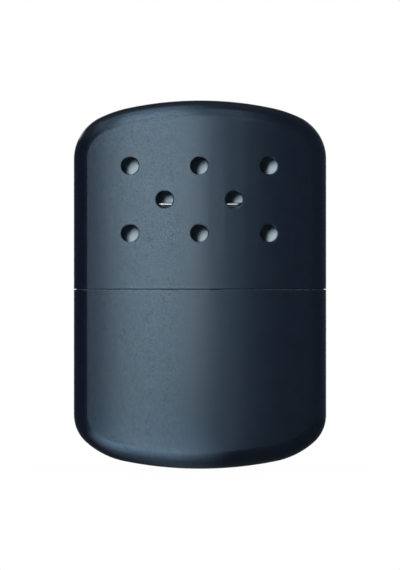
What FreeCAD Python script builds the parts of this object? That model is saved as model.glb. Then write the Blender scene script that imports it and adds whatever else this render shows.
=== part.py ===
import FreeCAD, Part
import math
import os

# Catalytic pocket hand warmer: a fuel tank packed with cotton, a lid with vent holes that
# slips over the tank's collar, and a catalytic burner that slips over the filler neck.
# Millimetres. +Z is up, X runs across the width, Y through the thickness, and the vented
# front faces -Y. The origin is the lowest point of the tank, in the middle of its bottom.

V = FreeCAD.Vector

# Case, outside
case_width = 67.0
case_depth = 15.0           # front to back on the middle line
face_radius = 170.0         # bow of the front and back faces, seen from above
side_flat = 0.7             # narrow flat left down the middle of each side
tank_height = 47.5          # bottom to the seam
lid_height = 50.0           # seam to the top
seam_gap = 0.15             # open line between the rim of the tank and the rim of the lid
shell_wall = 0.5
rim_round = 0.12            # broken edges of the two rims

# Each crown is three arcs: a flat one over the apex, an easing one and a tight corner.
top_apex_radius = 94.0
top_apex_share = 0.57       # share of the half width that the apex arc covers
top_corner_radius = 12.3
top_corner_slope = 25.2     # degrees of fall at which the corner arc takes over
bottom_apex_radius = 104.0
bottom_apex_share = 0.60
bottom_corner_radius = 9.9
bottom_corner_slope = 41.2

# Vent holes, in staggered rows on the front of the lid
vent_bore = 4.5             # clear opening
vent_mouth_round = 0.25     # rolled edge of each hole, on the outside
vent_pitch = 18.3           # between the holes of one row
vent_row_step = 8.9
vent_rise = 14.8            # seam to the lowest row
vent_rows = 3

# Collar: an upturned cup, sealed into the tank, that the lid slips over
lid_clearance = 0.2         # lid to collar, all round
collar_wall = 0.4
collar_rise = 7.0           # seam to the deck on top of the collar
collar_tuck = 7.0           # reach of the collar below the seam
collar_shoulder = 1.4       # rounding between the collar and its deck
nib_radius = 1.0            # pressed nibs that grip the lid
nib_clearance = 0.1         # nibs to the lid
nib_spread = 44.0           # between the two nibs of one face
nib_rise = 3.4              # seam to the nibs
seal_margin = 0.8           # bare ends above and below the sealing ring

# Filler neck, in the deck
neck_wall = 0.4
neck_rise = 3.5             # deck to the lip of the neck
neck_flange = 0.9           # width of the flange under the deck
neck_fit = 0.05             # neck to the edge of the deck's opening
neck_lip_round = 0.15
screen_wall = 0.3
screen_skirt = 1.2          # height of the retainer's upturned edge
screen_hole = 1.3
screen_pitch = 2.3

# Burner, slipped over the neck
burner_width = 28.7
burner_depth = 9.0
burner_wall = 0.4
burner_clearance = 0.1      # burner to neck, all round and at the seat
burner_lift = 0.3           # skirt to deck
burner_rise = 15.9          # deck to the rolled rim
ledge_width = 0.7           # turned-in ledge that seats on the neck
base_upstand = 1.0          # rim of the base that holds the cage
cage_wall = 0.35
cage_fit = 0.05             # cage to base, and gauzes to cage
rim_bead = 0.9              # thickness of the rolled rim
rim_bead_round = 0.42
window_width = 6.0
window_height = 5.3
window_pitch = 7.6
window_corner = 0.8
windows_per_side = 3
window_sill = 0.3           # base's rim to the foot of the windows
lug_width = 1.6             # lugs that carry the lower gauze
lug_reach = 0.8
lug_thickness = 0.3
gauze_thickness = 0.3
gauze_hole = 1.0
gauze_pitch = 1.7
mat_gap = 0.2               # catalyst mat to its gauzes and to the cage

# Cotton and felt in the tank
soft_gap = 0.25             # soft pieces to the metal and to each other
core_thickness = 4.4        # middle layer of the cotton
cotton_rise = 1.0           # seam to the top of the cotton
felt_overlap = 1.0          # reach of the felt past the neck's opening

# Worked out from the sizes above
half_width = case_width / 2
half_depth = case_depth / 2
bow_centre = face_radius - half_depth
side_radius = (face_radius**2 - half_width**2 - (bow_centre + side_flat / 2)**2) \
    / (2 * (face_radius - half_width))
face_turn = math.asin((half_width - side_radius) / (face_radius - side_radius))
top_crown = (top_apex_radius, top_apex_share, top_corner_radius, top_corner_slope)
bottom_crown = (bottom_apex_radius, bottom_apex_share, bottom_corner_radius, bottom_corner_slope)

seam = tank_height
tank_rim = seam - seam_gap / 2
lid_rim = seam + seam_gap / 2
collar_inset = shell_wall + lid_clearance
deck = seam + collar_rise
deck_underside = deck - collar_wall
neck_lip = deck + neck_rise
neck_foot = deck_underside - neck_wall
burner_half = (burner_width / 2, burner_depth / 2)
ledge = neck_lip + burner_clearance
cage_foot = ledge + burner_wall
base_rim = cage_foot + base_upstand
burner_top = deck + burner_rise
window_foot = base_rim + window_sill
gauze_seat = window_foot + window_height + lug_thickness
upper_gauze_foot = burner_top - rim_bead - mat_gap - gauze_thickness


def grow(half, amount):
    """An oval's (half length, half depth), larger all round by an amount."""
    return (half[0] + amount, half[1] + amount)


neck_half = grow(burner_half, -burner_wall - burner_clearance)
cage_half = grow(burner_half, -burner_wall - cage_fit)


def along(centre, radius, turn):
    """Point at a radius from a centre; the turn starts at the second axis, towards the first."""
    return (centre[0] + radius * math.sin(turn), centre[1] + radius * math.cos(turn))


def arc_edge(centre, radius, start, end, place):
    """Arc edge between two turns, put into space by place."""
    return Part.Arc(*[place(along(centre, radius, turn))
                      for turn in (start, (start + end) / 2, end)]).toShape()


def close_face(edges):
    """Face inside edges that follow each other, with straight lines across the breaks."""
    chain = []
    for edge, following in zip(edges, edges[1:] + edges[:1]):
        chain.append(edge)
        end, start = edge.Vertexes[-1].Point, following.Vertexes[0].Point
        if end.distanceToPoint(start) > 1e-6:
            chain.append(Part.makeLine(end, start))
    return Part.Face(Part.Wire(chain))


def crown_arcs(crown, inset):
    """Right half of a crown, measured from its apex: centre, radius and the turns it spans."""
    apex_radius, apex_share, corner_radius, corner_slope = crown
    apex_turn = math.asin(apex_share * half_width / apex_radius)
    corner_turn = math.radians(corner_slope)
    ease_span = half_width * (1 - apex_share) - corner_radius * (1 - math.sin(corner_turn))
    ease_radius = ease_span / (math.sin(corner_turn) - math.sin(apex_turn))
    apex = (0.0, -apex_radius)
    ease = along(apex, apex_radius - ease_radius, apex_turn)
    corner = along(ease, ease_radius - corner_radius, corner_turn)
    return [(apex, apex_radius - inset, 0.0, apex_turn),
            (ease, ease_radius - inset, apex_turn, corner_turn),
            (corner, corner_radius - inset, corner_turn, math.pi / 2)]


def front_outline(crown, inset, height, overrun):
    """Outline seen from the front: the crown on top, straight sides and a flat foot."""
    def place(point):
        return V(point[0], -case_depth, height + point[1])
    apex, ease, corner = crown_arcs(crown, inset)
    right = [arc_edge(*piece, place) for piece in (ease, corner)]
    left = [arc_edge((-centre[0], centre[1]), radius, -end, -start, place)
            for centre, radius, start, end in (corner, ease)]
    top = arc_edge(apex[0], apex[1], -apex[3], apex[3], place)
    foot = Part.makeLine(V(half_width - inset, -case_depth, -overrun),
                         V(inset - half_width, -case_depth, -overrun))
    return close_face([top] + right + [foot] + left)


def bowed_outline(inset, low):
    """Outline seen from above, before its edges are rounded: two bowed faces, cut off square."""
    def place(point):
        return V(point[0], point[1], low)
    reach = math.asin((half_width + shell_wall) / (face_radius - inset))
    back = arc_edge((0.0, -bow_centre), face_radius - inset, -reach, reach, place)
    front = arc_edge((0.0, bow_centre), face_radius - inset, math.pi - reach, math.pi + reach, place)
    return close_face([back, front])


def crowned_block(crown, inset, height, overrun=0.0):
    """Solid half of the case, crown up, its foot at z = 0, moved in by inset on every side."""
    silhouette = front_outline(crown, inset, height, overrun).extrude(V(0, 2 * case_depth, 0))
    prism = bowed_outline(inset, -overrun).extrude(V(0, 0, height + overrun))
    block = silhouette.common(prism)
    rounded = []
    for edge in block.Edges:
        first, last = edge.Vertexes[0].Point, edge.Vertexes[-1].Point
        on_foot = max(first.z, last.z) < -overrun + 1e-6
        if first.y * last.y > 0 and not on_foot:
            rounded.append(edge)
    return block.makeFillet(side_radius - inset, rounded)


def case_prism(inset, low, high):
    """Straight length of the case's section, with its rounded sides."""
    def place(point):
        return V(point[0], point[1], low)
    corner_x = half_width - side_radius
    corner_radius = side_radius - inset
    right, left = math.pi / 2, 3 * math.pi / 2
    arcs = [
        arc_edge((0.0, -bow_centre), face_radius - inset, -face_turn, face_turn, place),
        arc_edge((corner_x, side_flat / 2), corner_radius, face_turn, right, place),
        arc_edge((corner_x, -side_flat / 2), corner_radius, right, math.pi - face_turn, place),
        arc_edge((0.0, bow_centre), face_radius - inset, math.pi - face_turn, math.pi + face_turn, place),
        arc_edge((-corner_x, -side_flat / 2), corner_radius, math.pi + face_turn, left, place),
        arc_edge((-corner_x, side_flat / 2), corner_radius, left, 2 * math.pi - face_turn, place),
    ]
    return close_face(arcs).extrude(V(0, 0, high - low))


def oval_prism(half, inset, low, high):
    """Upright prism with straight sides and round ends; half is its (half length, half depth)."""
    def place(point):
        return V(point[0], point[1], low)
    radius = half[1] - inset
    end_x = half[0] - half[1]
    ends = [arc_edge((end_x, 0.0), radius, 0.0, math.pi, place),
            arc_edge((-end_x, 0.0), radius, math.pi, 2 * math.pi, place)]
    return close_face(ends).extrude(V(0, 0, high - low))


def level_edges(shape, height):
    """Edges of a shape that lie in one level plane."""
    return [edge for edge in shape.Edges
            if abs(edge.BoundBox.ZMin - height) < 1e-4 and abs(edge.BoundBox.ZMax - height) < 1e-4]


def perforate(plate, half, margin, pitch, hole, low, high):
    """Staggered round holes through a level plate, kept a margin inside its oval edge."""
    row_step = pitch * math.sqrt(3) / 2
    rows = int((half[1] - margin - hole / 2) / row_step)
    columns = int(half[0] / pitch) + 1
    drills = []
    for row in range(-rows, rows + 1):
        shift = pitch / 2 if row % 2 else 0.0
        for column in range(-columns, columns + 1):
            x, y = column * pitch + shift, row * row_step
            past_end = max(abs(x) - (half[0] - half[1]), 0.0)
            if math.hypot(past_end, y) + hole / 2 + margin <= half[1]:
                drills.append(Part.makeCylinder(hole / 2, high - low + 1, V(x, y, low - 0.5)))
    return plate.cut(Part.makeCompound(drills))


def soften_rim(shell, height):
    """Break both edges of a shell's open rim."""
    return shell.makeFillet(rim_round, level_edges(shell, height))


def make_tank_shell():
    """Lower half of the case: a drawn, painted cup."""
    outside = crowned_block(bottom_crown, 0.0, tank_rim)
    inside = crowned_block(bottom_crown, shell_wall, tank_rim, overrun=1.0)
    shell = soften_rim(outside.cut(inside), 0.0)
    shell.rotate(V(0, 0, 0), V(1, 0, 0), 180)
    shell.translate(V(0, 0, tank_rim))
    return shell


def vent_centres():
    """Centres (x, z above the seam) of the holes; every other row is one hole short."""
    centres = []
    for row in range(vent_rows):
        count = 3 if row % 2 == 0 else 2
        for column in range(count):
            centres.append(((column - (count - 1) / 2) * vent_pitch, vent_rise + row * vent_row_step))
    return centres


def make_lid_shell():
    """Upper half of the case, with its vent holes through the front wall."""
    height = seam + lid_height - lid_rim
    outside = crowned_block(top_crown, 0.0, height)
    pocket = half_depth / 2
    drills = [Part.makeCylinder(vent_bore / 2, case_depth, V(x, -pocket, z - seam_gap / 2), V(0, -1, 0))
              for x, z in vent_centres()]
    outside = outside.cut(Part.makeCompound(drills))
    mouths = [edge for edge in outside.Edges
              if edge.BoundBox.YMax < -pocket and abs(edge.BoundBox.ZLength - vent_bore) < rim_round
              and edge.BoundBox.XLength > edge.BoundBox.YLength * 2]
    outside = outside.makeFillet(vent_mouth_round, mouths)
    inside = crowned_block(top_crown, shell_wall, height, overrun=1.0)
    shell = soften_rim(outside.cut(inside), 0.0)
    shell.translate(V(0, 0, lid_rim))
    return shell


def make_tank_collar():
    """Drawn collar and deck in one: an upturned cup with an oval opening and four grip nibs."""
    foot = seam - collar_tuck
    outside = case_prism(collar_inset, foot, deck)
    outside = outside.makeFillet(collar_shoulder, level_edges(outside, deck))
    inside = case_prism(collar_inset + collar_wall, foot - 1, deck_underside)
    inside = inside.makeFillet(collar_shoulder - collar_wall, level_edges(inside, deck_underside))
    collar = outside.cut(inside)
    opening = oval_prism(grow(neck_half, neck_fit), 0.0, deck_underside - 1, deck + 1)
    collar = collar.cut(opening)
    face = face_radius - collar_inset
    root = face - collar_wall / 2
    nib_length = collar_wall / 2 + lid_clearance - nib_clearance
    for side in (-1, 1):
        for x in (-nib_spread / 2, nib_spread / 2):
            square = V(x / face, side * math.sqrt(1 - (x / face)**2), 0)
            foot_centre = square * root + V(0, -side * bow_centre, seam + nib_rise)
            collar = collar.fuse(Part.makeCylinder(nib_radius, nib_length, foot_centre, square))
    return collar


def make_collar_seal():
    """Ring of sealing compound between the collar and the tank's wall."""
    low, high = seam - collar_tuck + seal_margin, tank_rim - seal_margin
    return case_prism(shell_wall, low, high).cut(case_prism(collar_inset, low - 1, high + 1))


def make_filler_neck():
    """Oval tube through the deck, with a flange under it."""
    tube = oval_prism(neck_half, 0.0, neck_foot, neck_lip)
    flange = oval_prism(grow(neck_half, neck_flange), 0.0, neck_foot, deck_underside)
    bore = oval_prism(neck_half, neck_wall, neck_foot - 1, neck_lip + 1)
    neck = tube.fuse(flange).removeSplitter().cut(bore)
    return neck.makeFillet(neck_lip_round, level_edges(neck, neck_lip))


def make_neck_screen():
    """Perforated retainer, a shallow cup pressed into the neck, that holds the wick down."""
    half = grow(neck_half, -neck_wall - neck_fit)
    cup = oval_prism(half, 0.0, neck_foot, neck_foot + screen_wall + screen_skirt)
    hollow = oval_prism(half, screen_wall, neck_foot + screen_wall, neck_lip)
    return perforate(cup.cut(hollow), half, 2 * screen_wall, screen_pitch, screen_hole,
                     neck_foot, neck_foot + screen_wall)


def make_wick_felt():
    """Felt plug that carries fuel from the cotton up to the neck."""
    half = grow(neck_half, felt_overlap)
    return oval_prism(half, 0.0, seam + cotton_rise + soft_gap, neck_foot - soft_gap)


def make_batting():
    """Cotton that soaks up the fuel, in three upright layers."""
    inset = collar_inset + collar_wall + soft_gap
    height = seam + cotton_rise
    cotton = crowned_block(bottom_crown, inset, height)
    cotton.rotate(V(0, 0, 0), V(1, 0, 0), 180)
    cotton.translate(V(0, 0, height))
    core = Part.makeBox(case_width, core_thickness, height, V(-half_width, -core_thickness / 2, 0))
    outer_start = core_thickness / 2 + soft_gap
    front = Part.makeBox(case_width, half_depth, height, V(-half_width, -outer_start - half_depth, 0))
    rear = Part.makeBox(case_width, half_depth, height, V(-half_width, outer_start, 0))
    return {"batting_core": cotton.common(core), "batting_front": cotton.common(front),
            "batting_rear": cotton.common(rear)}


def make_burner_base():
    """Skirt that slips over the neck, with a turned-in ledge and an upstand for the cage."""
    skirt = oval_prism(burner_half, 0.0, deck + burner_lift, base_rim)
    skirt = skirt.cut(oval_prism(burner_half, burner_wall, deck, base_rim + 1))
    shelf = oval_prism(burner_half, burner_wall / 2, ledge, ledge + burner_wall)
    shelf = shelf.cut(oval_prism(burner_half, burner_wall + ledge_width, deck, base_rim + 1))
    return skirt.fuse(shelf).removeSplitter()


def window_tool(x):
    """Rounded rectangle, cut straight through the cage from front to back."""
    box = Part.makeBox(window_width, 2 * burner_depth, window_height,
                       V(x - window_width / 2, -burner_depth, window_foot))
    corners = [edge for edge in box.Edges if edge.BoundBox.YLength > burner_depth]
    return box.makeFillet(window_corner, corners)


def make_burner_cage():
    """Upper half of the burner: windows for air below, a pocket for the mat, a rolled rim."""
    wall = oval_prism(cage_half, 0.0, cage_foot, burner_top - rim_bead / 2)
    wall = wall.cut(oval_prism(cage_half, cage_wall, cage_foot - 1, burner_top + 1))
    first = -(windows_per_side - 1) / 2
    windows = [window_tool((first + number) * window_pitch) for number in range(windows_per_side)]
    wall = wall.cut(Part.makeCompound(windows))
    overhang = (rim_bead - cage_wall) / 2
    bead = oval_prism(grow(cage_half, overhang), 0.0, burner_top - rim_bead, burner_top)
    bead = bead.cut(oval_prism(grow(cage_half, overhang), rim_bead, burner_top - 2 * rim_bead, burner_top + 1))
    round_edges = level_edges(bead, burner_top) + level_edges(bead, burner_top - rim_bead)
    cage = wall.fuse(bead.makeFillet(rim_bead_round, round_edges))
    for side in (-1, 1):
        for number in range(windows_per_side - 1):
            x = (first + number + 0.5) * window_pitch
            inner = side * (cage_half[1] - cage_wall / 2)
            y = inner if side < 0 else inner - lug_reach - cage_wall / 2
            lug = Part.makeBox(lug_width, lug_reach + cage_wall / 2, lug_thickness,
                               V(x - lug_width / 2, y, gauze_seat - lug_thickness))
            cage = cage.fuse(lug)
    return cage.removeSplitter()


def make_gauze(low):
    """Perforated oval sheet that holds the catalyst mat in the cage."""
    half = grow(cage_half, -cage_wall - cage_fit)
    high = low + gauze_thickness
    return perforate(oval_prism(half, 0.0, low, high), half, gauze_hole / 2, gauze_pitch, gauze_hole,
                     low, high)


def make_catalyst_mat():
    """Glass-fibre mat that carries the platinum."""
    half = grow(cage_half, -cage_wall - mat_gap)
    return oval_prism(half, 0.0, gauze_seat + gauze_thickness + mat_gap, upper_gauze_foot - mat_gap)


nodes = {
    "tank_shell": make_tank_shell(),
    "tank_collar": make_tank_collar(),
    "collar_seal": make_collar_seal(),
    "filler_neck": make_filler_neck(),
    "neck_screen": make_neck_screen(),
    "wick_felt": make_wick_felt(),
    "burner_base": make_burner_base(),
    "burner_cage": make_burner_cage(),
    "lower_gauze": make_gauze(gauze_seat),
    "catalyst_mat": make_catalyst_mat(),
    "upper_gauze": make_gauze(upper_gauze_foot),
    "lid_shell": make_lid_shell(),
}
nodes.update(make_batting())

os.makedirs("parts", exist_ok=True)
for name, shape in nodes.items():
    solids = shape.Solids
    solid = solids[0] if len(solids) == 1 else Part.makeCompound(solids)
    solid.exportStep("parts/" + name + ".step")
    box = solid.BoundBox
    print("%-14s solids %d valid %s volume %.1f  x %.2f..%.2f y %.2f..%.2f z %.2f..%.2f" % (
        name, len(solids), solid.isValid(), solid.Volume,
        box.XMin, box.XMax, box.YMin, box.YMax, box.ZMin, box.ZMax))
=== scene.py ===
import bpy
import math
import random
from mathutils import Matrix, Vector, noise as field


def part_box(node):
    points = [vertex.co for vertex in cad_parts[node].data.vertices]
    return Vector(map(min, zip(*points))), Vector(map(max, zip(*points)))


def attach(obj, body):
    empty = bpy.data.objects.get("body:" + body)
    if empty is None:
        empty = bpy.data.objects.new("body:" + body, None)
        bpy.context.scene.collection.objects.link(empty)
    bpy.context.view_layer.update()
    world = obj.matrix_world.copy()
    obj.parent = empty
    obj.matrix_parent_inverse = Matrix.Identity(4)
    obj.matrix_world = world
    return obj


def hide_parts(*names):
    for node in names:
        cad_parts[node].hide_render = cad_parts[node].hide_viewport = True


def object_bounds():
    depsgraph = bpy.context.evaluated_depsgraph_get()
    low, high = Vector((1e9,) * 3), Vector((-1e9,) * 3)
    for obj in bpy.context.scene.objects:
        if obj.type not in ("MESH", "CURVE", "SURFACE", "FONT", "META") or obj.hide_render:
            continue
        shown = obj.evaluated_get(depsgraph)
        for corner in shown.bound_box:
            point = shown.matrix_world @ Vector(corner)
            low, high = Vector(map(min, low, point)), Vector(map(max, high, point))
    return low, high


# Dressing of the pocket hand warmer: paint and plate on the pressed parts, and the woven
# gauzes, glass-fibre mat, felt and cotton as modelled pieces. Metres, in the part's own frame.

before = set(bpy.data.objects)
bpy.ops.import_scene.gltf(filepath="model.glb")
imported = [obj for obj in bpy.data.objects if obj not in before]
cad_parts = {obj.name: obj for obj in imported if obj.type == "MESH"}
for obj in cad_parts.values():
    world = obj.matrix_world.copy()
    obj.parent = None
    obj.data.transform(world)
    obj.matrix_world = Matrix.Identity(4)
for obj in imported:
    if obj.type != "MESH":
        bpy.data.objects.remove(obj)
cad_low, cad_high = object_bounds()

MM = 0.001
middle = (cad_low + cad_high) / 2
seam = (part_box("tank_shell")[1].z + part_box("lid_shell")[0].z) / 2

# Case
FACE_RADIUS = 170 * MM          # bow of the front and back faces
PAINTED_DEPTH = 0.35 * MM       # how far the paint reaches into the vent holes
OVERSPRAY = 1.6 * MM            # paint carried round the rim onto the inside
BOW_SLACK = (0.02 * MM, 0.03 * MM)  # distance off the bow, over which a face stops counting as bowed
BOW_LEAN = (1.5, 2.5)           # degrees off the bow's facing, likewise
PAINTED_SHADE_EDGE = 1 * MM              # either side of the lid's middle, where the painted shade fades out
PEBBLE_SIZE = 0.34 * MM         # of the sprayed coat
PEBBLE_DEPTH = 4e-6             # likewise
DRAW_LINE_DEPTH = 2e-6          # of the upright draw lines on bare metal
PAINT = (0.0047, 0.0049, 0.0105, 1)      # blue-black
BARE_INSIDE = (0.62, 0.78, 0.88, 1)      # dull plate
PAINTED_SHADE_INSIDE = (0.025, 0.028, 0.032, 1)  # the same, darkened as painted shade on the lid's vented front half

# Bright parts
NICKEL = (0.66, 0.64, 0.60)
NICKEL_DIMMING = 0.86           # of the nickel where it is dullest
BEAD_STEEL = (0.70, 0.69, 0.67, 1)
BEAD_EDGE = (0.95 * MM, 0.80 * MM)   # below the burner's top, where the bright bead begins
SPRAY_AND_SHADE_EDGE = (0.55 * MM, 0.40 * MM)  # above the seam, where the dark paint on the collar ends: overspray from the tank and painted shade in the seam
HEAT_DRIFT = 5 * MM             # unevenness of the heat colours
HEAT_START = 1 * MM             # above the foot of the burner's cage
HEAT_END = 2.5 * MM             # below the burner's top
# Share of the way from the heat's start to its end, and the steel's colour there
HEAT_TINTS = ((0.0, (0.62, 0.61, 0.59, 1)), (0.35, (0.62, 0.54, 0.40, 1)), (0.60, (0.42, 0.29, 0.19, 1)),
              (0.80, (0.17, 0.13, 0.19, 1)), (1.0, (0.035, 0.032, 0.038, 1)))

# Weave of the gauzes
WIRE_PITCH = 0.8 * MM
WIRE_SIDES = 6
WAVE_STEPS = 8                  # straight lengths in one full wave of a wire
GAUZE_RADII = 4.15              # thickness of a gauze in radii of its wire

# Fibre stuffs
COTTON_INSET = 0.32 * MM        # the cotton starts this much inside its space
SWELL_PRESSURE = 4.0
SWELL_FRAMES = 20
FIBRE_STEPS = 8                 # straight lengths in a loose fibre
FIBRE_LENGTHS = (0.6, 0.75, 0.9, 1.0, 1.15)  # shares of the usual length
MOST_DROP = 3                   # widths that a fibre's end may stand off the skin

# Camera
CAMERA_DISTANCE = 1200 * MM
VIEW_HEIGHT = 151.2 * MM        # height of the picture at the object's middle
VIEW_DROP = 0.12 * MM           # of the camera below the object's middle
CAMERA_TURN = math.radians(1.4)  # to the right of square on
SENSOR = 36.0

# Lamps. Angles are degrees, as the object sees them.
LAMP_DISTANCE = 1.0
LEVEL = Vector((1, 0, 0))       # a lamp's width lies along this
WHITE = (1.0, 1.0, 1.0)
COOL = (0.86, 0.95, 1.0)        # light from ahead
BLUE = (0.88, 1.06, 1.25)       # light from above, below and the sides
KEY_AZIMUTH = -9.3              # left of straight ahead
KEY_LEAN = 11.0                 # to the left, as it rises
KEY_WIDTH = 19.2                # between the middles of its soft sides
KEY_SIDE = 7.0                  # width of a soft side
KEY_RADIANCE = 3.25
KEY_TURNS_BLUE = 36             # from this rise on
# Rise along the key light, and its level there
KEY_LEVELS = ((-4.5, 1.0), (12, 1.05), (36, 0.78), (52, 0.40), (68, 0.28), (84, 0.10), (94, 0.0))
# Name, direction, width, height, share of the key light's radiance, share of the width in a soft side
FILLS = (("left_spill", (-0.37, -0.92, -0.14), 10, 30, 0.10, 0.15),
         ("right_spill", (0.10, -0.99, -0.05), 9, 30, 0.14, 0.5),
         ("left_fill", (-0.42, -0.52, 0.85), 56, 56, 0.15, 0.35),
         ("right_fill", (0.16, -0.8, 0.56), 34, 56, 0.18, 0.45))
MATTE_DIRECTION = (-0.13, -1.0, 0.14)
MATTE_SIZE = (7, 9)             # of the small lamp that lights matte surfaces
MATTE_SIDE = 0.3                # share of its width in a soft side
MATTE_RADIANCE = 135.0
ROOM_LEVEL = 0.45               # of the white room on matte surfaces

# Dark cards: name, place, turn, width and height, tone, and whether matte surfaces see it
UPRIGHT_AHEAD = (math.pi / 2, 0, 0)
UPRIGHT_ASIDE = (0, math.pi / 2, 0)
FLAT = (0, 0, 0)
CARDS = (("front_card", (0, -1.6, 0.05), UPRIGHT_AHEAD, (4.0, 4.0), (0.03, 0.04, 0.05), True),
         ("left_card", (-0.2, 0.02, 0.035), UPRIGHT_ASIDE, (0.27, 0.8), (0.045, 0.06, 0.085), True),
         ("right_card", (0.2, -0.3, 0.2), UPRIGHT_ASIDE, (1.2, 1.44), (0.08, 0.10, 0.13), True),
         ("top_card", (0, 0.37, 0.35), FLAT, (0.8, 0.46), (0.05, 0.06, 0.07), True),
         ("roof_card", (0, -0.2, 1.3), FLAT, (6.0, 4.4), (0.12, 0.14, 0.16), False))

# Table top, and the pool of light painted as a glow on the dark card on it, which widens and moves left
# ahead of the case
TABLE_RADIUS = 0.14
TABLE_DROP = 0.05 * MM          # of the table top below the case
CARD_DROP = 0.02 * MM           # of the dark card on it
TABLE_WHITENESS = 0.985         # near the case; white at its edge
TABLE_WHITENING = (0.2, 0.45)   # shares of its radius, between which it turns white
POOL_CENTRE = -18 * MM
POOL_DRIFT = -0.155             # sideways, for each metre ahead
POOL_HALF_WIDTH = 17 * MM
POOL_SPREAD = 0.19              # of the half width, for each metre ahead
POOL_SIDES = (0.5, 1.6)         # of the half width, between which it fades out sideways
POOL_START = (-5 * MM, 1 * MM)  # ahead of the case, between which it fades in
POOL_END = (50 * MM, 110 * MM)  # ahead of the case, between which it fades out
POOL_LEAST = 0.15               # of the key light's radiance, beside the case
POOL_GAIN = 0.75                # added to that further ahead
POOL_GAIN_HALF = 8 * MM         # ahead of the case, where half of it is added
CARD_TONE = 0.06                # of the table outside the pool


# ---------------------------------------------------------------- node helpers

def set_input(tree, socket, value):
    """Gives an input a plain value, or links it from a socket."""
    if isinstance(value, bpy.types.NodeSocket):
        tree.links.new(value, socket)
    else:
        socket.default_value = value


def add_node(tree, kind, inputs=None, **settings):
    """A shader node. Each input is a value, or a socket to link from."""
    made = tree.nodes.new("ShaderNode" + kind)
    for name, value in settings.items():
        setattr(made, name, value)
    for key, value in (inputs or {}).items():
        set_input(tree, made.inputs[key], value)
    return made


def calc(tree, operation, *values, clamp=False):
    """Output of a math node."""
    return add_node(tree, "Math", dict(enumerate(values)), operation=operation, use_clamp=clamp).outputs[0]


def vector_calc(tree, operation, *values, output="Vector"):
    """Output of a vector math node."""
    return add_node(tree, "VectorMath", dict(enumerate(values)), operation=operation).outputs[output]


def ramp(tree, value, start, end, low=0.0, high=1.0, smooth=True):
    """Value mapped from start..end to low..high, held beyond both ends."""
    made = add_node(tree, "MapRange", {"Value": value, "From Min": start, "From Max": end,
                                       "To Min": low, "To Max": high})
    made.interpolation_type = "SMOOTHSTEP" if smooth else "LINEAR"
    return made.outputs["Result"]


def noise(tree, vector, size, detail=2.0, roughness=0.5, distortion=0.0):
    """Noise value whose lumps are about size metres across. Size is a value or a socket."""
    scale = calc(tree, "DIVIDE", 1.0, size) if isinstance(size, bpy.types.NodeSocket) else 1 / size
    return add_node(tree, "TexNoise", {"Vector": vector, "Scale": scale, "Detail": detail,
                                       "Roughness": roughness, "Distortion": distortion}).outputs["Fac"]


def mix(tree, kind, factor, first, second, **settings):
    """First to second by factor, where kind is Color or Vector."""
    made = add_node(tree, "Mix", **settings)
    sockets = {socket.identifier: socket for socket in made.inputs}
    for key, value in (("Factor_Float", factor), ("A_" + kind, first), ("B_" + kind, second)):
        set_input(tree, sockets[key], value)
    return next(socket for socket in made.outputs if socket.identifier == "Result_" + kind)


def blend_colour(tree, factor, first, second, mode="MIX"):
    """Colour mixed from first to second by factor."""
    return mix(tree, "Color", factor, first, second, data_type="RGBA", blend_type=mode)


def split(tree, vector):
    """The X, Y and Z outputs of a vector."""
    return add_node(tree, "SeparateXYZ", {"Vector": vector}).outputs


def stretch(tree, vector, factors):
    """Coordinates scaled along each axis, which draws a pattern out along the small ones."""
    return add_node(tree, "Mapping", {"Vector": vector, "Scale": factors}).outputs["Vector"]


def object_point(tree):
    """Place on the piece, in metres."""
    return add_node(tree, "TexCoord").outputs["Object"]


def bump(tree, height, depth, normal=None):
    """Normal of a surface that rises by depth metres where height is 1."""
    made = add_node(tree, "Bump", {"Height": height, "Distance": depth, "Strength": 1.0})
    if normal:
        tree.links.new(normal, made.inputs["Normal"])
    return made.outputs["Normal"]


def open_group(name, inputs, outputs):
    """A shader group with these inputs (name: default) and outputs (name: kind)."""
    tree = bpy.data.node_groups.new(name, "ShaderNodeTree")
    for label, default in inputs.items():
        kind = "NodeSocketFloat" if isinstance(default, float) else "NodeSocketVector"
        tree.interface.new_socket(label, in_out="INPUT", socket_type=kind).default_value = default
    for label, kind in outputs.items():
        tree.interface.new_socket(label, in_out="OUTPUT", socket_type="NodeSocket" + kind)
    return tree, tree.nodes.new("NodeGroupInput").outputs, tree.nodes.new("NodeGroupOutput").inputs


def use_group(tree, group, **values):
    """Outputs of a group placed in a material; an underscore in a name stands for a space."""
    made = add_node(tree, "Group", node_tree=group)
    for name, value in values.items():
        set_input(tree, made.inputs[name.replace("_", " ")], value)
    return made.outputs


def open_material(name, **constants):
    """A material with a Principled shader; constants are the shader's own plain values."""
    material = bpy.data.materials.new(name)
    material.use_nodes = True
    tree = material.node_tree
    shader = tree.nodes["Principled BSDF"]
    for label, value in constants.items():
        shader.inputs[label.replace("_", " ")].default_value = value
    return material, tree, shader


def feed(tree, shader, **sockets):
    """Links sockets into a shader's inputs."""
    for label, socket in sockets.items():
        tree.links.new(socket, shader.inputs[label.replace("_", " ")])


# ---------------------------------------------------------------- shared effects

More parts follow.
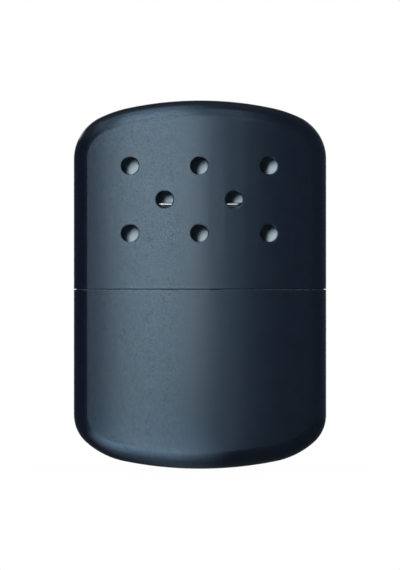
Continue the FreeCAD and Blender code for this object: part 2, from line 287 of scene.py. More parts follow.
def make_spray_finish():
    """Satin sprayed coat: fine pebble, broad waviness, and a film that reflects unevenly."""
    tree, given, out = open_group("spray_finish", {"Pebble Size": PEBBLE_SIZE, "Speckle": 1.0},
                                  {"Height": "Float", "Tone": "Float", "Gloss": "Float", "Film": "Float"})
    point = object_point(tree)
    pebble = noise(tree, point, given["Pebble Size"], 3.0)
    broad = noise(tree, point, 14 * MM, 3.0)
    cloud = noise(tree, point, 5 * MM, 4.0, 0.6)
    speckle = calc(tree, "MULTIPLY", calc(tree, "SUBTRACT", pebble, 0.5), given["Speckle"])
    film = ramp(tree, cloud, 0.3, 0.7, 0.84, 0.88)
    tree.links.new(calc(tree, "MULTIPLY_ADD", broad, 2.0, pebble), out["Height"])
    tree.links.new(ramp(tree, cloud, 0.3, 0.7, 0.93, 1.07), out["Tone"])
    tree.links.new(ramp(tree, cloud, 0.3, 0.7, -0.015, 0.02), out["Gloss"])
    tree.links.new(calc(tree, "ADD", speckle, film, clamp=True), out["Film"])
    return tree


def make_drawn_marks():
    """Upright draw lines and short scuffs on pressed sheet metal."""
    tree, given, out = open_group("drawn_marks", {"Line Width": 0.12 * MM, "Scuffs": 0.3},
                                  {"Height": "Float", "Dulling": "Float"})
    point = object_point(tree)
    lines = noise(tree, stretch(tree, point, (1.0, 1.0, 0.02)), given["Line Width"], 3.0)
    wander = noise(tree, stretch(tree, point, (1.0, 1.0, 0.12)), 0.5 * MM, 2.0)
    patch = noise(tree, point, 6 * MM, 3.0)
    scuff = calc(tree, "MULTIPLY", ramp(tree, wander, 0.58, 0.7), ramp(tree, patch, 0.45, 0.6))
    dull = calc(tree, "MULTIPLY", scuff, given["Scuffs"])
    tree.links.new(calc(tree, "MULTIPLY_ADD", scuff, -0.6, lines), out["Height"])
    tree.links.new(calc(tree, "ADD", dull, ramp(tree, patch, 0.3, 0.7, -0.04, 0.05)), out["Dulling"])
    return tree


def make_edge_wear():
    """Worn line round a level edge: 1 at the given height, broken up by noise."""
    tree, given, out = open_group("edge_wear", {"Edge Height": 0.0, "Reach": 0.3 * MM, "Amount": 0.5},
                                  {"Mask": "Float"})
    point = object_point(tree)
    away = calc(tree, "ABSOLUTE", calc(tree, "SUBTRACT", split(tree, point)["Z"], given["Edge Height"]))
    near = calc(tree, "SUBTRACT", 1.0, calc(tree, "DIVIDE", away, given["Reach"]), clamp=True)
    ragged = noise(tree, point, 0.7 * MM, 4.0, 0.65)
    spots = ramp(tree, calc(tree, "MULTIPLY", near, ragged), 0.33, 0.45)
    tree.links.new(calc(tree, "MULTIPLY", spots, given["Amount"]), out["Mask"])
    return tree


def make_fibre_fuzz():
    """Tangled fibres: crossing fine strands, with lumps under them. The tone is lighter where strands and
    lumps stand high and darker in the hollows: painted shade over random tone.
    """
    tree, given, out = open_group("fibre_fuzz", {"Strand Width": 0.08 * MM, "Lump Size": 3 * MM},
                                  {"Height": "Float", "Tone": "Float"})
    point = object_point(tree)
    lump = noise(tree, point, given["Lump Size"], 4.0)
    strands = []
    for stretching in ((1.0, 0.1, 0.3), (0.1, 1.0, 0.3), (0.4, 0.4, 1.0)):
        strand = noise(tree, stretch(tree, point, stretching), given["Strand Width"], distortion=0.6)
        strands.append(ramp(tree, strand, 0.45, 0.7))
    tangle = calc(tree, "MAXIMUM", calc(tree, "MAXIMUM", strands[0], strands[1]), strands[2])
    # painted shade: the tone follows the height, darker in the hollows between lumps
    shade = ramp(tree, lump, 0.3, 0.7, 0.78, 0.9)
    tree.links.new(calc(tree, "MULTIPLY_ADD", lump, 2.0, tangle), out["Height"])
    tree.links.new(calc(tree, "MULTIPLY_ADD", tangle, 0.18, shade), out["Tone"])
    return tree


def make_bowed_face():
    """Exact facing of the bowed front and back, in place of the flat facets of their mesh."""
    tree, _, out = open_group("bowed_face", {}, {"Normal": "Vector"})
    coordinates = add_node(tree, "TexCoord").outputs
    facing = coordinates["Normal"]
    place = split(tree, coordinates["Object"])
    side = calc(tree, "SIGN", place["Y"])
    from_bow = calc(tree, "MULTIPLY_ADD", side, FACE_RADIUS - cad_high.y, place["Y"])
    outward = add_node(tree, "CombineXYZ", {"X": place["X"], "Y": from_bow}).outputs["Vector"]
    bow = vector_calc(tree, "NORMALIZE", outward)
    distance = vector_calc(tree, "LENGTH", outward, output="Value")
    off_bow = calc(tree, "ABSOLUTE", calc(tree, "SUBTRACT", distance, FACE_RADIUS))
    within, beyond = BOW_SLACK
    on_bow = ramp(tree, off_bow, beyond, within)
    least_lean, most_lean = BOW_LEAN
    agreeing = ramp(tree, vector_calc(tree, "DOT_PRODUCT", bow, facing, output="Value"),
                    math.cos(math.radians(most_lean)), math.cos(math.radians(least_lean)))
    share = calc(tree, "MULTIPLY", on_bow, agreeing)
    mixed = mix(tree, "Vector", share, facing, bow, data_type="VECTOR")
    turned = add_node(tree, "VectorTransform", {"Vector": mixed},
                      vector_type="NORMAL", convert_from="OBJECT", convert_to="WORLD")
    tree.links.new(vector_calc(tree, "NORMALIZE", turned.outputs[0]), out["Normal"])
    return tree


def make_outer_side():
    """1 on the painted outside of a case half and round its rim, 0 on its bare inside."""
    tree, given, out = open_group("outer_side", {"Middle": (0.0, 0.0, 0.0)}, {"Mask": "Float"})
    coordinates = add_node(tree, "TexCoord").outputs
    point = coordinates["Object"]
    from_middle = vector_calc(tree, "SUBTRACT", point, given["Middle"])
    outward = vector_calc(tree, "DOT_PRODUCT", from_middle, coordinates["Normal"], output="Value")
    outside = calc(tree, "GREATER_THAN", outward, 0.0)
    place = split(tree, point)
    from_bow = calc(tree, "ADD", calc(tree, "ABSOLUTE", place["Y"]), FACE_RADIUS - cad_high.y)
    distance = calc(tree, "SQRT", calc(tree, "ADD", calc(tree, "MULTIPLY", place["X"], place["X"]),
                                       calc(tree, "MULTIPLY", from_bow, from_bow)))
    in_hole = calc(tree, "GREATER_THAN", distance, FACE_RADIUS - PAINTED_DEPTH)
    off_seam = calc(tree, "ABSOLUTE", calc(tree, "SUBTRACT", place["Z"], seam))
    drift = calc(tree, "MULTIPLY", noise(tree, point, 2 * MM, 3.0), OVERSPRAY)
    overspray = ramp(tree, calc(tree, "SUBTRACT", off_seam, drift), 0.6 * OVERSPRAY, 0.1 * OVERSPRAY)
    painted = calc(tree, "MAXIMUM", calc(tree, "MAXIMUM", outside, in_hole), overspray)
    tree.links.new(painted, out["Mask"])
    return tree


spray_finish = make_spray_finish()
drawn_marks = make_drawn_marks()
edge_wear = make_edge_wear()
fibre_fuzz = make_fibre_fuzz()
bowed_face = make_bowed_face()
outer_side = make_outer_side()


# ---------------------------------------------------------------- finishes

def make_case_finish(name, node):
    """Dark blue-black satin paint outside, dull plate inside, worn thin at the rim.

    The inside of the lid's vented front half is painted darker, as painted shade that keeps the vent holes
    dark.
    """
    low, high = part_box(node)
    is_lid = node == "lid_shell"
    material, tree, shader = open_material(name, IOR=1.54, Specular_Tint=(0.33, 0.72, 1.0, 1.0),
                                           Coat_Roughness=0.18, Coat_IOR=1.5)
    side = use_group(tree, outer_side, Middle=(low + high) / 2)["Mask"]
    worn = use_group(tree, edge_wear, Edge_Height=low.z if is_lid else high.z,
                     Reach=0.25 * MM, Amount=0.35)["Mask"]
    coat = calc(tree, "SUBTRACT", side, worn, clamp=True)
    spray = use_group(tree, spray_finish, Pebble_Size=PEBBLE_SIZE, Speckle=2.5)
    marks = use_group(tree, drawn_marks, Line_Width=0.15 * MM, Scuffs=0.1)
    bare = calc(tree, "SUBTRACT", 1.0, coat)
    paint = blend_colour(tree, 1.0, PAINT, spray["Tone"], "MULTIPLY")
    inside = BARE_INSIDE
    # painted shade: the inside of the lid's front half is darkened so that its vent holes look dark
    if is_lid:
        away_from_vents = ramp(tree, split(tree, object_point(tree))["Y"], -PAINTED_SHADE_EDGE, PAINTED_SHADE_EDGE)
        inside = blend_colour(tree, away_from_vents, PAINTED_SHADE_INSIDE, BARE_INSIDE)
    bare_lines = calc(tree, "MULTIPLY", marks["Height"], bare)
    lines = calc(tree, "MULTIPLY", bare_lines, DRAW_LINE_DEPTH / PEBBLE_DEPTH)
    feed(tree, shader,
         Base_Color=blend_colour(tree, coat, inside, paint),
         Metallic=calc(tree, "MULTIPLY", side, worn),
         Roughness=calc(tree, "ADD", calc(tree, "ADD", ramp(tree, coat, 0, 1, 0.55, 0.25), spray["Gloss"]),
                        calc(tree, "MULTIPLY", marks["Dulling"], bare)),
         Coat_Weight=calc(tree, "MULTIPLY", coat, spray["Film"]),
         Normal=bump(tree, calc(tree, "ADD", lines, spray["Height"]), PEBBLE_DEPTH,
                     use_group(tree, bowed_face)["Normal"]))
    return material


def make_nickel_plate():
    """Bright plated sheet with draw lines."""
    material, tree, shader = open_material("nickel_plate", Metallic=1.0)
    marks = use_group(tree, drawn_marks, Line_Width=0.1 * MM, Scuffs=0.25)
    tone = noise(tree, object_point(tree), 9 * MM, 3.0)
    dimmed = tuple(channel * NICKEL_DIMMING for channel in NICKEL) + (1,)
    feed(tree, shader,
         Base_Color=blend_colour(tree, ramp(tree, tone, 0.3, 0.7), dimmed, NICKEL + (1,)),
         Roughness=calc(tree, "ADD", marks["Dulling"], 0.24),
         Normal=bump(tree, marks["Height"], DRAW_LINE_DEPTH))
    return material


def make_burner_plate():
    """Stamped steel, bright below, straw to burnt blue-black beside the mat, with a bright bead on top."""
    material, tree, shader = open_material("burner_plate", Metallic=1.0)
    cage_low, cage_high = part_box("burner_cage")
    point = object_point(tree)
    marks = use_group(tree, drawn_marks, Line_Width=0.1 * MM, Scuffs=0.3)
    height = split(tree, point)["Z"]
    drift = calc(tree, "MULTIPLY", calc(tree, "SUBTRACT", noise(tree, point, 4 * MM, 3.0), 0.5), HEAT_DRIFT)
    heat = ramp(tree, calc(tree, "ADD", height, drift), cage_low.z + HEAT_START, cage_high.z - HEAT_END,
                smooth=False)
    tint = add_node(tree, "ValToRGB", {"Fac": heat})
    stops = tint.color_ramp.elements
    for position, _ in HEAT_TINTS[1:-1]:
        stops.new(position)
    for stop, (position, colour) in zip(stops, HEAT_TINTS):
        stop.position = position
        stop.color = colour
    bead_low, bead_high = BEAD_EDGE
    bead = ramp(tree, height, cage_high.z - bead_low, cage_high.z - bead_high)
    feed(tree, shader,
         Base_Color=blend_colour(tree, bead, tint.outputs["Color"], BEAD_STEEL),
         Roughness=calc(tree, "ADD", marks["Dulling"], ramp(tree, bead, 0, 1, 0.27, 0.15)),
         Normal=bump(tree, marks["Height"], DRAW_LINE_DEPTH))
    return material


def make_gauze_wire():
    """Nickel-chrome wire, browned by heat."""
    material, tree, shader = open_material("gauze_wire", Metallic=1.0)
    patch = noise(tree, object_point(tree), 3 * MM, 3.0)
    feed(tree, shader,
         Base_Color=blend_colour(tree, ramp(tree, patch, 0.35, 0.65), (0.50, 0.47, 0.43, 1),
                                 (0.31, 0.25, 0.22, 1)),
         Roughness=ramp(tree, patch, 0.3, 0.7, 0.32, 0.5))
    return material


def make_fibre(name, light, dark, strand, lump, depth):
    """Matte fibre stuff: cotton, felt or glass mat."""
    material, tree, shader = open_material(name, Roughness=0.95, Sheen_Weight=0.4, Sheen_Roughness=0.5)
    fuzz = use_group(tree, fibre_fuzz, Strand_Width=strand, Lump_Size=lump)
    # the fibre's tone carries painted shade in its hollows
    feed(tree, shader,
         Base_Color=blend_colour(tree, fuzz["Tone"], dark + (1,), light + (1,)),
         Normal=bump(tree, fuzz["Height"], depth))
    return material


def make_compound():
    """Grey sealing compound, dull and slightly pitted."""
    material, tree, shader = open_material("sealing_compound", IOR=1.45)
    pits = noise(tree, object_point(tree), 0.8 * MM, 4.0)
    feed(tree, shader,
         Base_Color=blend_colour(tree, ramp(tree, pits, 0.3, 0.7), (0.16, 0.15, 0.14, 1),
                                 (0.27, 0.26, 0.24, 1)),
         Roughness=ramp(tree, pits, 0.3, 0.7, 0.55, 0.75),
         Normal=bump(tree, pits, 0.04 * MM))
    return material


def make_collar_finish():
    """Nickel plate above the seam; the collar's foot is painted dull and dark like the case, partly
    overspray from the tank and partly painted shade in the narrow seam.
    """
    material, tree, shader = open_material("collar_plate", IOR=1.5)
    point = object_point(tree)
    marks = use_group(tree, drawn_marks, Line_Width=0.1 * MM, Scuffs=0.35)
    drift = calc(tree, "MULTIPLY", noise(tree, point, 0.8 * MM, 4.0), 0.35 * MM)
    edge = calc(tree, "ADD", split(tree, point)["Z"], drift)
    # painted shade: the dark paint on the collar's foot also stands in for the shade in the seam's gap
    spray_and_shade_high, spray_and_shade_low = SPRAY_AND_SHADE_EDGE
    sprayed_and_shaded = ramp(tree, edge, seam + spray_and_shade_high, seam + spray_and_shade_low)
    tone = noise(tree, point, 9 * MM, 3.0)
    metal = blend_colour(tree, ramp(tree, tone, 0.3, 0.7), (0.57, 0.55, 0.51, 1), NICKEL + (1,))
    feed(tree, shader,
         Base_Color=blend_colour(tree, sprayed_and_shaded, metal, PAINT),
         Metallic=calc(tree, "SUBTRACT", 1.0, sprayed_and_shaded),
         Roughness=calc(tree, "ADD", marks["Dulling"], ramp(tree, sprayed_and_shaded, 0, 1, 0.24, 0.8)),
         Normal=bump(tree, marks["Height"], DRAW_LINE_DEPTH))
    return material


def dress(material, *nodes):
    """Gives CAD nodes their finish."""
    for node in nodes:
        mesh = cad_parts[node].data
        mesh.materials.clear()
        mesh.materials.append(material)


dress(make_case_finish("tank_finish", "tank_shell"), "tank_shell")
dress(make_case_finish("lid_finish", "lid_shell"), "lid_shell")
dress(make_collar_finish(), "tank_collar")
dress(make_nickel_plate(), "filler_neck", "neck_screen")
dress(make_burner_plate(), "burner_base", "burner_cage")
dress(make_compound(), "collar_seal")


# ---------------------------------------------------------------- work on pieces

def pick(piece):
    """Selects this piece alone."""
    bpy.ops.object.select_all(action="DESELECT")
    piece.select_set(True)
    bpy.context.view_layer.objects.active = piece


def settle():
    """Puts the selected object's place into its mesh."""
    bpy.ops.object.transform_apply(location=True, rotation=True, scale=True)


def name_piece(name):
    """Names the object that was just made."""
    made = bpy.context.object
    made.name = name
    made.data.name = name
    return made


def face_outwards():
    """Turns every face of the mesh in edit mode outwards, and leaves edit mode."""
    bpy.ops.mesh.select_all(action="SELECT")
    bpy.ops.mesh.normals_make_consistent(inside=False)
    bpy.ops.object.mode_set(mode="OBJECT")


def join(pieces, name):
    """Joins pieces into one object."""
    bpy.ops.object.select_all(action="DESELECT")
    for piece in pieces:
        piece.select_set(True)
    bpy.context.view_layer.objects.active = pieces[0]
    bpy.ops.object.join()
    return name_piece(name)


def change(piece, kind, **settings):
    """Runs a modifier on a piece and applies it."""
    modifier = piece.modifiers.new(kind.lower(), kind)
    for name, value in settings.items():
        setattr(modifier, name, value)
    pick(piece)
    bpy.ops.object.modifier_apply(modifier=modifier.name)


# ---------------------------------------------------------------- woven gauzes

def pull_wire(radius, rise, half_length, crosswise, phase):
    """One wavy wire through the origin, pulled out from a small round face."""
    bpy.ops.object.select_all(action="DESELECT")
    step = 2 * WIRE_PITCH / WAVE_STEPS
    count = round(2 * half_length / step)

    def wave(number):
        return rise * math.cos(math.pi * (number * step - half_length) / WIRE_PITCH + phase)

    start = (0, -half_length, wave(0)) if crosswise else (-half_length, 0, wave(0))
    turned = (math.pi / 2, 0, 0) if crosswise else (0, math.pi / 2, 0)
    bpy.ops.mesh.primitive_circle_add(vertices=WIRE_SIDES, radius=radius, fill_type="NGON",
                                      location=start, rotation=turned)
    wire = name_piece("wire")
    bpy.ops.object.mode_set(mode="EDIT")
    for number in range(count):
        lift = wave(number + 1) - wave(number)
        move = (0, step, lift) if crosswise else (step, 0, lift)
        bpy.ops.mesh.extrude_region_move(TRANSFORM_OT_translate={"value": move})
    face_outwards()
    settle()
    return wire


def repeat_wire(wire, first, count, crosswise):
    """Lays copies of a wire side by side, two pitches apart."""
    shift = Vector((1, 0, 0)) if crosswise else Vector((0, 1, 0))
    wire.location = shift * first
    change(wire, "ARRAY", count=count, use_relative_offset=False, use_constant_offset=True,
           constant_offset_displace=shift * 2 * WIRE_PITCH)


def oval_block(half, low, high, segments=64):
    """Upright block with straight sides and round ends, pulled apart from a cylinder."""
    bpy.ops.object.select_all(action="DESELECT")
    bpy.ops.mesh.primitive_cylinder_add(vertices=segments, radius=half.y, depth=high - low,
                                        location=(0, 0, (low + high) / 2),
                                        rotation=(0, 0, math.pi / segments))
    block = name_piece("trim_block")
    settle()
    for side in (-1, 1):
        for vertex in block.data.vertices:
            vertex.select = vertex.co.x * side > 0
        bpy.ops.object.mode_set(mode="EDIT")
        bpy.ops.mesh.select_mode(type="VERT")
        bpy.ops.transform.translate(value=(side * (half.x - half.y), 0, 0))
        bpy.ops.mesh.select_all(action="DESELECT")
        bpy.ops.object.mode_set(mode="OBJECT")
    return block


def weave_gauze(name, node, wire_finish):
    """Plain-woven wire gauze, trimmed to the oval of the sheet it stands for."""
    low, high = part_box(node)
    thickness = high.z - low.z
    radius = thickness / GAUZE_RADII
    rise = thickness / 2 - radius
    half = Vector((high.x, high.y))
    wires = []
    for crosswise in (False, True):
        across, along = (half.x, half.y) if crosswise else (half.y, half.x)
        reach = math.ceil(along / WIRE_PITCH) * WIRE_PITCH
        last = int((across - radius) / WIRE_PITCH)
        opposite = math.pi if crosswise else 0.0
        for odd in (0, 1):
            first = -last if (last - odd) % 2 == 0 else -last + 1
            count = (last - first) // 2 + 1
            wire = pull_wire(radius, rise, reach, crosswise, math.pi * odd + opposite)
            repeat_wire(wire, first * WIRE_PITCH, count, crosswise)
            wires.append(wire)
    gauze = join(wires, name)
    gauze.location = (0, 0, (low.z + high.z) / 2)
    settle()
    block = oval_block(half, low.z - thickness, high.z + thickness)
    change(gauze, "BOOLEAN", operation="INTERSECT", solver="EXACT", object=block)
    bpy.data.objects.remove(block)
    bpy.ops.object.shade_smooth_by_angle(angle=math.radians(50))
    gauze.data.materials.clear()
    gauze.data.materials.append(wire_finish)
    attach(gauze, "burner")
    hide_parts(node)


gauze_wire = make_gauze_wire()
weave_gauze("woven_lower_gauze", "lower_gauze", gauze_wire)
weave_gauze("woven_upper_gauze", "upper_gauze", gauze_wire)


# ---------------------------------------------------------------- cotton, felt and glass fibre

def closed_copy(name, node):
    """Copy of a solid, its loose triangles merged into one skin."""
    piece = bpy.data.objects.new(name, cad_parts[node].data.copy())
    piece.data.name = name
    piece.data.materials.clear()
    bpy.context.scene.collection.objects.link(piece)
    pick(piece)
    bpy.ops.object.mode_set(mode="EDIT")
    bpy.ops.mesh.select_all(action="SELECT")
    bpy.ops.mesh.remove_doubles(threshold=0.001 * MM)
    bpy.ops.object.mode_set(mode="OBJECT")
    return piece


def even_skin(piece, voxel, inset, rounding):
    """Even faces all over, drawn in by inset, with the corners rounded off."""
    change(piece, "REMESH", mode="VOXEL", voxel_size=voxel)
    change(piece, "DISPLACE", mid_level=0.0, strength=-inset)
    change(piece, "SMOOTH", factor=0.5, iterations=rounding)


def swell(piece, least, most, lump):
    """The packed fibre pushes outwards like cloth under pressure, and gives way in lumps."""
    packed = [vertex.co.copy() for vertex in piece.data.vertices]
    cloth = piece.modifiers.new("swell", "CLOTH")
    cloth.settings.mass = 0.001
    cloth.settings.tension_stiffness = 1.0
    cloth.settings.compression_stiffness = 1.0
    cloth.settings.shear_stiffness = 1.0
    cloth.settings.bending_stiffness = 0.05
    cloth.settings.use_pressure = True
    cloth.settings.uniform_pressure_force = SWELL_PRESSURE
    cloth.settings.effector_weights.gravity = 0.0
    cloth.point_cache.frame_start = 1
    cloth.point_cache.frame_end = SWELL_FRAMES
    for moment in range(1, SWELL_FRAMES + 1):
        bpy.context.scene.frame_set(moment)
    pick(piece)
    bpy.ops.object.modifier_apply(modifier=cloth.name)
    bpy.context.scene.frame_set(1)
    for vertex, start in zip(piece.data.vertices, packed):
        push = vertex.co - start
        give = 0.5 + 0.5 * field.noise(start / lump)
        reach = least + (most - least) * give
        vertex.co = start + push.normalized() * min(push.length, reach)


def roughen(piece, size, depth):
    """Fine unevenness pressed into the skin."""
    change(piece, "SUBSURF", levels=1, render_levels=1)
    clouds = bpy.data.textures.new(piece.name, "CLOUDS")
    clouds.noise_scale = size
    clouds.noise_depth = 3
    change(piece, "DISPLACE", texture=clouds, texture_coords="LOCAL", mid_level=1.0, strength=depth)
    bpy.ops.object.shade_smooth()


def pull_fibre(length, thickness, curl):
    """One loose fibre along X, pulled out in curling steps from a three-cornered face."""
    bpy.ops.object.select_all(action="DESELECT")
    step = length / FIBRE_STEPS
    bpy.ops.mesh.primitive_circle_add(vertices=3, radius=thickness / 2, fill_type="NGON",
                                      location=(-length / 2, 0, 0), rotation=(0, math.pi / 2, 0))
    fibre = name_piece("fibre")
    turn = random.uniform(-curl, curl)
    bend = random.uniform(-curl, curl) / 2
    bpy.ops.object.mode_set(mode="EDIT")
    for number in range(FIBRE_STEPS):
        turn += bend + random.uniform(-curl, curl) / 3
        move = (step * math.cos(turn), step * math.sin(turn), 0)
        bpy.ops.mesh.extrude_region_move(TRANSFORM_OT_translate={"value": move})
    face_outwards()
    settle()
    return fibre


def lay_fibres(name, piece, count, length, thickness, curl):
    """Loose fibres laid at random over the piece's skin.

    One that would stick out past an edge is left off.
    """
    random.seed(name)
    patterns = [pull_fibre(length * share, thickness, curl) for share in FIBRE_LENGTHS]
    faces = piece.data.polygons
    laid = []
    while len(laid) < count:
        face = faces[random.randrange(len(faces))]
        along = Matrix.Rotation(random.uniform(0, 2 * math.pi), 3, face.normal) @ face.normal.orthogonal()
        along.normalize()
        place = Matrix((along, face.normal.cross(along), face.normal)).transposed().to_4x4()
        place.translation = face.center + face.normal * thickness / 3
        pattern = patterns[random.randrange(len(patterns))]
        ends = (place @ pattern.data.vertices[0].co, place @ pattern.data.vertices[-1].co)
        drops = [(piece.closest_point_on_mesh(end)[1] - end).length for end in ends]
        if max(drops) > MOST_DROP * thickness:
            continue
        strand = bpy.data.objects.new(name, pattern.data.copy())
        strand.data.transform(place)
        bpy.context.scene.collection.objects.link(strand)
        laid.append(strand)
    for pattern in patterns:
        bpy.data.objects.remove(pattern)
    return join(laid, name)


def finish_soft(piece, material, body):
    """Material, body and slot of a soft piece."""
    piece.data.materials.clear()
    piece.data.materials.append(material)
    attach(piece, body)


def pack_cotton(layer, finish):
    """One layer of the cotton in the tank, swollen against its neighbours, with loose strands on it."""
    node = "batting_" + layer
    cotton = closed_copy("cotton_" + layer, node)
    even_skin(cotton, voxel=0.95 * MM, inset=COTTON_INSET, rounding=4)
    swell(cotton, least=0.0, most=0.30 * MM, lump=4 * MM)
    roughen(cotton, size=1.7 * MM, depth=0.4 * MM)
    strands = lay_fibres("cotton_strands_" + layer, cotton, count=170, length=4.5 * MM,
                         thickness=0.05 * MM, curl=0.5)
    for piece in (cotton, strands):
        finish_soft(piece, finish, "tank")
    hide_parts(node)


def press_felt():
    """Dense felt plug: sharp-edged, with a short nap."""
    finish = make_fibre("pressed_felt", light=(0.80, 0.77, 0.70), dark=(0.55, 0.52, 0.46),
                        strand=0.07 * MM, lump=1.2 * MM, depth=0.04 * MM)
    felt = closed_copy("felt_plug", "wick_felt")
    even_skin(felt, voxel=0.36 * MM, inset=0.08 * MM, rounding=3)
    roughen(felt, size=0.5 * MM, depth=0.12 * MM)
    nap = lay_fibres("felt_nap", felt, count=200, length=1.3 * MM, thickness=0.03 * MM, curl=0.7)
    for piece in (felt, nap):
        finish_soft(piece, finish, "tank")
    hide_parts("wick_felt")


def fill_burner():
    """Glass-fibre mat, darkened by its platinum, slightly puffed between the gauzes."""
    finish = make_fibre("glass_fibre", light=(0.50, 0.49, 0.48), dark=(0.20, 0.20, 0.21),
                        strand=0.05 * MM, lump=1.0 * MM, depth=0.03 * MM)
    mat = closed_copy("glass_mat", "catalyst_mat")
    even_skin(mat, voxel=0.3 * MM, inset=0.25 * MM, rounding=4)
    swell(mat, least=0.06 * MM, most=0.22 * MM, lump=1.6 * MM)
    roughen(mat, size=0.35 * MM, depth=0.12 * MM)
    strands = lay_fibres("glass_strands", mat, count=260, length=2.6 * MM, thickness=0.025 * MM, curl=0.3)
    for piece in (mat, strands):
        finish_soft(piece, finish, "burner")
    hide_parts("catalyst_mat")


cotton_finish = make_fibre("cotton_fibre", light=(0.88, 0.87, 0.84), dark=(0.66, 0.65, 0.61),
                           strand=0.10 * MM, lump=3 * MM, depth=0.06 * MM)
for layer in ("front", "core", "rear"):
    pack_cotton(layer, cotton_finish)
press_felt()
fill_burner()


# ---------------------------------------------------------------- lamps

def empty_tree(owner):
    """Node tree of a material, world or lamp, with nothing in it."""
    owner.use_nodes = True
    owner.node_tree.nodes.clear()
    return owner.node_tree


def key_direction(rise):
    """Direction to the tall key light, rise degrees up its length; it leans left as it rises."""
    turn, lean, rise = math.radians(KEY_AZIMUTH), math.radians(KEY_LEAN), math.radians(rise)
    ahead = Vector((math.sin(turn), -math.cos(turn), 0))
    left = Vector((-math.cos(turn), -math.sin(turn), 0))
    up = left * math.sin(lean) + Vector((0, 0, math.cos(lean)))
    return ahead * math.cos(rise) + up * math.sin(rise)


def fade_light(lamp, side, low, high):
    """Soft sides, side being their share of the width, and a level that runs from low to high."""
    tree = empty_tree(lamp)
    place = split(tree, add_node(tree, "NewGeometry").outputs["Parametric"])
    from_side = calc(tree, "SUBTRACT", 0.5, calc(tree, "ABSOLUTE", calc(tree, "SUBTRACT", place["X"], 0.5)))
    across = ramp(tree, from_side, 0.0, side)
    along = ramp(tree, place["Y"], 0.0, 1.0, low, high, smooth=False)
    strength = calc(tree, "MULTIPLY", across, along)
    glow = add_node(tree, "Emission", {"Color": WHITE + (1,), "Strength": strength})
    add_node(tree, "OutputLight", {"Surface": glow.outputs[0]})


def softbox(name, direction, across, width, height, radiance, side, colour, low=1.0, high=1.0):
    """Rectangular soft light that faces the object, for reflections only.

    Width and height are the degrees that it fills as the object sees it.
    """
    lamp = bpy.data.lights.new(name, "AREA")
    lamp.shape = "RECTANGLE"
    lamp.size = 2 * LAMP_DISTANCE * math.tan(math.radians(width / 2))
    lamp.size_y = 2 * LAMP_DISTANCE * math.tan(math.radians(height / 2))
    lamp.energy = radiance * math.pi * lamp.size * lamp.size_y
    lamp.color = colour
    fade_light(lamp, side, low, high)
    stand = bpy.data.objects.new(name, lamp)
    bpy.context.scene.collection.objects.link(stand)
    away = direction.normalized()
    up = away.cross(across).normalized()
    stand.location = middle + away * LAMP_DISTANCE
    stand.rotation_euler = Matrix((up.cross(away), up, away)).transposed().to_euler()
    stand.visible_camera = False
    stand.visible_diffuse = False
    return stand


def make_key_light():
    """Tall curved key light, as a row of softboxes that pass their level on."""
    across = key_direction(0).cross(key_direction(90))
    width = KEY_WIDTH + KEY_SIDE
    for (low_end, low_level), (high_end, high_level) in zip(KEY_LEVELS, KEY_LEVELS[1:]):
        softbox("key_%d" % low_end, key_direction((low_end + high_end) / 2), across, width,
                high_end - low_end, KEY_RADIANCE, KEY_SIDE / width,
                BLUE if low_end >= KEY_TURNS_BLUE else COOL, low_level, high_level)


def make_fill_lights():
    """Weak softboxes beside and above the key light."""
    for name, direction, width, height, share, side in FILLS:
        softbox(name, Vector(direction), LEVEL, width, height, share * KEY_RADIANCE, side, BLUE)


def make_matte_light():
    """Small lamp that lights matte surfaces, and shows in no reflection."""
    width, height = MATTE_SIZE
    lamp = softbox("matte_light", Vector(MATTE_DIRECTION), LEVEL, width, height, MATTE_RADIANCE, MATTE_SIDE,
                   WHITE)
    lamp.visible_diffuse = True
    lamp.visible_glossy = False


# ---------------------------------------------------------------- cards, table and room

def glow_material(name, colour, strength=1.0):
    """Even or patterned glow; strength is a value, or a function that makes a socket in the tree."""
    material = bpy.data.materials.new(name)
    tree = empty_tree(material)
    level = strength(tree) if callable(strength) else strength
    glow = add_node(tree, "Emission", {"Color": colour + (1,), "Strength": level})
    add_node(tree, "OutputMaterial", {"Surface": glow.outputs[0]})
    return material


def hang_cards():
    """Dark cards that keep the white room out of the reflections; the camera looks past them."""
    for name, location, rotation, size, tone, seen_by_matte in CARDS:
        bpy.ops.object.select_all(action="DESELECT")
        bpy.ops.mesh.primitive_plane_add(size=1, location=location, rotation=rotation)
        board = name_piece(name)
        board.scale = size + (1,)
        board.visible_camera = False
        board.visible_diffuse = seen_by_matte
        board.data.materials.append(glow_material(name, tone))


def lay_disc(name, drop):
    """Round sheet under the case."""
    bpy.ops.object.select_all(action="DESELECT")
    bpy.ops.mesh.primitive_circle_add(vertices=96, radius=TABLE_RADIUS, fill_type="NGON",
                                      location=(0, 0, cad_low.z - drop))
    return name_piece(name)


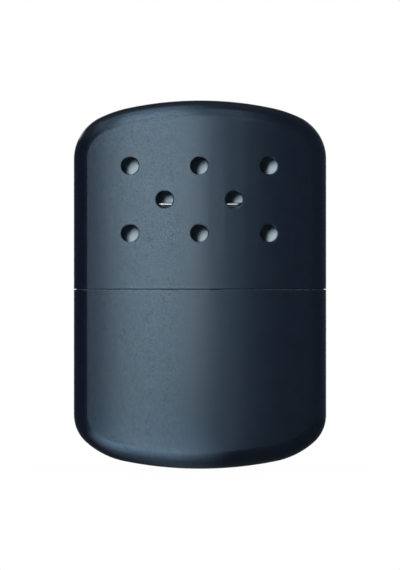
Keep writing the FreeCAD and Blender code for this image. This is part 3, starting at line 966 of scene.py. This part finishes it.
def painted_pool_level(tree):
    """Glow of the painted pool of light on the table card, set against the key light's radiance, over the
    tone of the dark card.
    """
    place = split(tree, object_point(tree))
    ahead = calc(tree, "SUBTRACT", cad_low.y, place["Y"])
    reach = calc(tree, "MAXIMUM", ahead, 0.0)
    centre = calc(tree, "MULTIPLY_ADD", reach, POOL_DRIFT, POOL_CENTRE)
    half_width = calc(tree, "MULTIPLY_ADD", reach, POOL_SPREAD, POOL_HALF_WIDTH)
    off_centre = calc(tree, "ABSOLUTE", calc(tree, "SUBTRACT", place["X"], centre))
    full_side, last_side = POOL_SIDES
    across = ramp(tree, calc(tree, "DIVIDE", off_centre, half_width), last_side, full_side)
    rising = calc(tree, "DIVIDE", reach, calc(tree, "ADD", reach, POOL_GAIN_HALF))
    near_end, far_end = POOL_END
    under = calc(tree, "MULTIPLY", ramp(tree, ahead, *POOL_START), ramp(tree, ahead, far_end, near_end))
    along = calc(tree, "MULTIPLY", calc(tree, "MULTIPLY_ADD", rising, POOL_GAIN, POOL_LEAST), under)
    return calc(tree, "MULTIPLY_ADD", calc(tree, "MULTIPLY", across, along), KEY_RADIANCE, CARD_TONE)


def lay_table_card():
    """Dark card laid on the table for reflections only, glowing with a painted pool of light in front of
    the case.
    """
    board = lay_disc("table_card", CARD_DROP)
    for ray in ("camera", "diffuse", "transmission", "volume_scatter", "shadow"):
        setattr(board, "visible_" + ray, False)
    # the card glows: a painted pool of light that shows only in reflections
    board.data.materials.append(glow_material("table_card", BLUE, painted_pool_level))


def seen_directly(tree):
    """1 for camera, glossy and transmission rays."""
    path = add_node(tree, "LightPath").outputs
    return calc(tree, "MAXIMUM", calc(tree, "MAXIMUM", path["Is Camera Ray"], path["Is Glossy Ray"]),
                path["Is Transmission Ray"])


def make_room():
    """White surroundings that light the object only gently."""
    world = bpy.data.worlds.new("white_room")
    bpy.context.scene.world = world
    tree = empty_tree(world)
    strength = ramp(tree, seen_directly(tree), 0, 1, ROOM_LEVEL, 1.0, smooth=False)
    sky = add_node(tree, "Background", {"Color": WHITE + (1,), "Strength": strength})
    add_node(tree, "OutputWorld", {"Surface": sky.outputs[0]})


def make_floor():
    """Round pale table top, white at its edge so that it melts into the room."""
    floor = lay_disc("floor", TABLE_DROP)
    material = bpy.data.materials.new("pale_floor")
    tree = empty_tree(material)
    distance = vector_calc(tree, "LENGTH", object_point(tree), output="Value")
    begins, ends = TABLE_WHITENING
    whiteness = ramp(tree, distance, begins * TABLE_RADIUS, ends * TABLE_RADIUS, TABLE_WHITENESS, 1.0)
    matte = add_node(tree, "BsdfDiffuse", {"Color": (0.86, 0.86, 0.86, 1)})
    white = add_node(tree, "Emission", {"Color": WHITE + (1,), "Strength": 1.0})
    surface = add_node(tree, "MixShader", {0: calc(tree, "MULTIPLY", seen_directly(tree), whiteness),
                                           1: matte.outputs[0], 2: white.outputs[0]})
    below = add_node(tree, "NewGeometry").outputs["Backfacing"]
    clear = add_node(tree, "BsdfTransparent")
    final = add_node(tree, "MixShader", {0: below, 1: surface.outputs[0], 2: clear.outputs[0]})
    add_node(tree, "OutputMaterial", {"Surface": final.outputs[0]})
    floor.data.materials.append(material)


def make_camera():
    """Long lens, level with the middle of the case and almost square to its front."""
    data = bpy.data.cameras.new("camera")
    data.sensor_width = SENSOR
    data.lens = SENSOR * CAMERA_DISTANCE / VIEW_HEIGHT
    data.clip_start = 0.05
    data.clip_end = 20
    camera = bpy.data.objects.new("camera", data)
    bpy.context.scene.collection.objects.link(camera)
    camera.location = (CAMERA_DISTANCE * math.sin(CAMERA_TURN), -CAMERA_DISTANCE * math.cos(CAMERA_TURN),
                       middle.z - VIEW_DROP)
    camera.rotation_euler = (math.pi / 2, 0, CAMERA_TURN)
    bpy.context.scene.camera = camera


make_camera()
make_room()
make_floor()
make_key_light()
make_fill_lights()
make_matte_light()
hang_cards()
lay_table_card()

bpy.context.scene.view_settings.view_transform = "Standard"
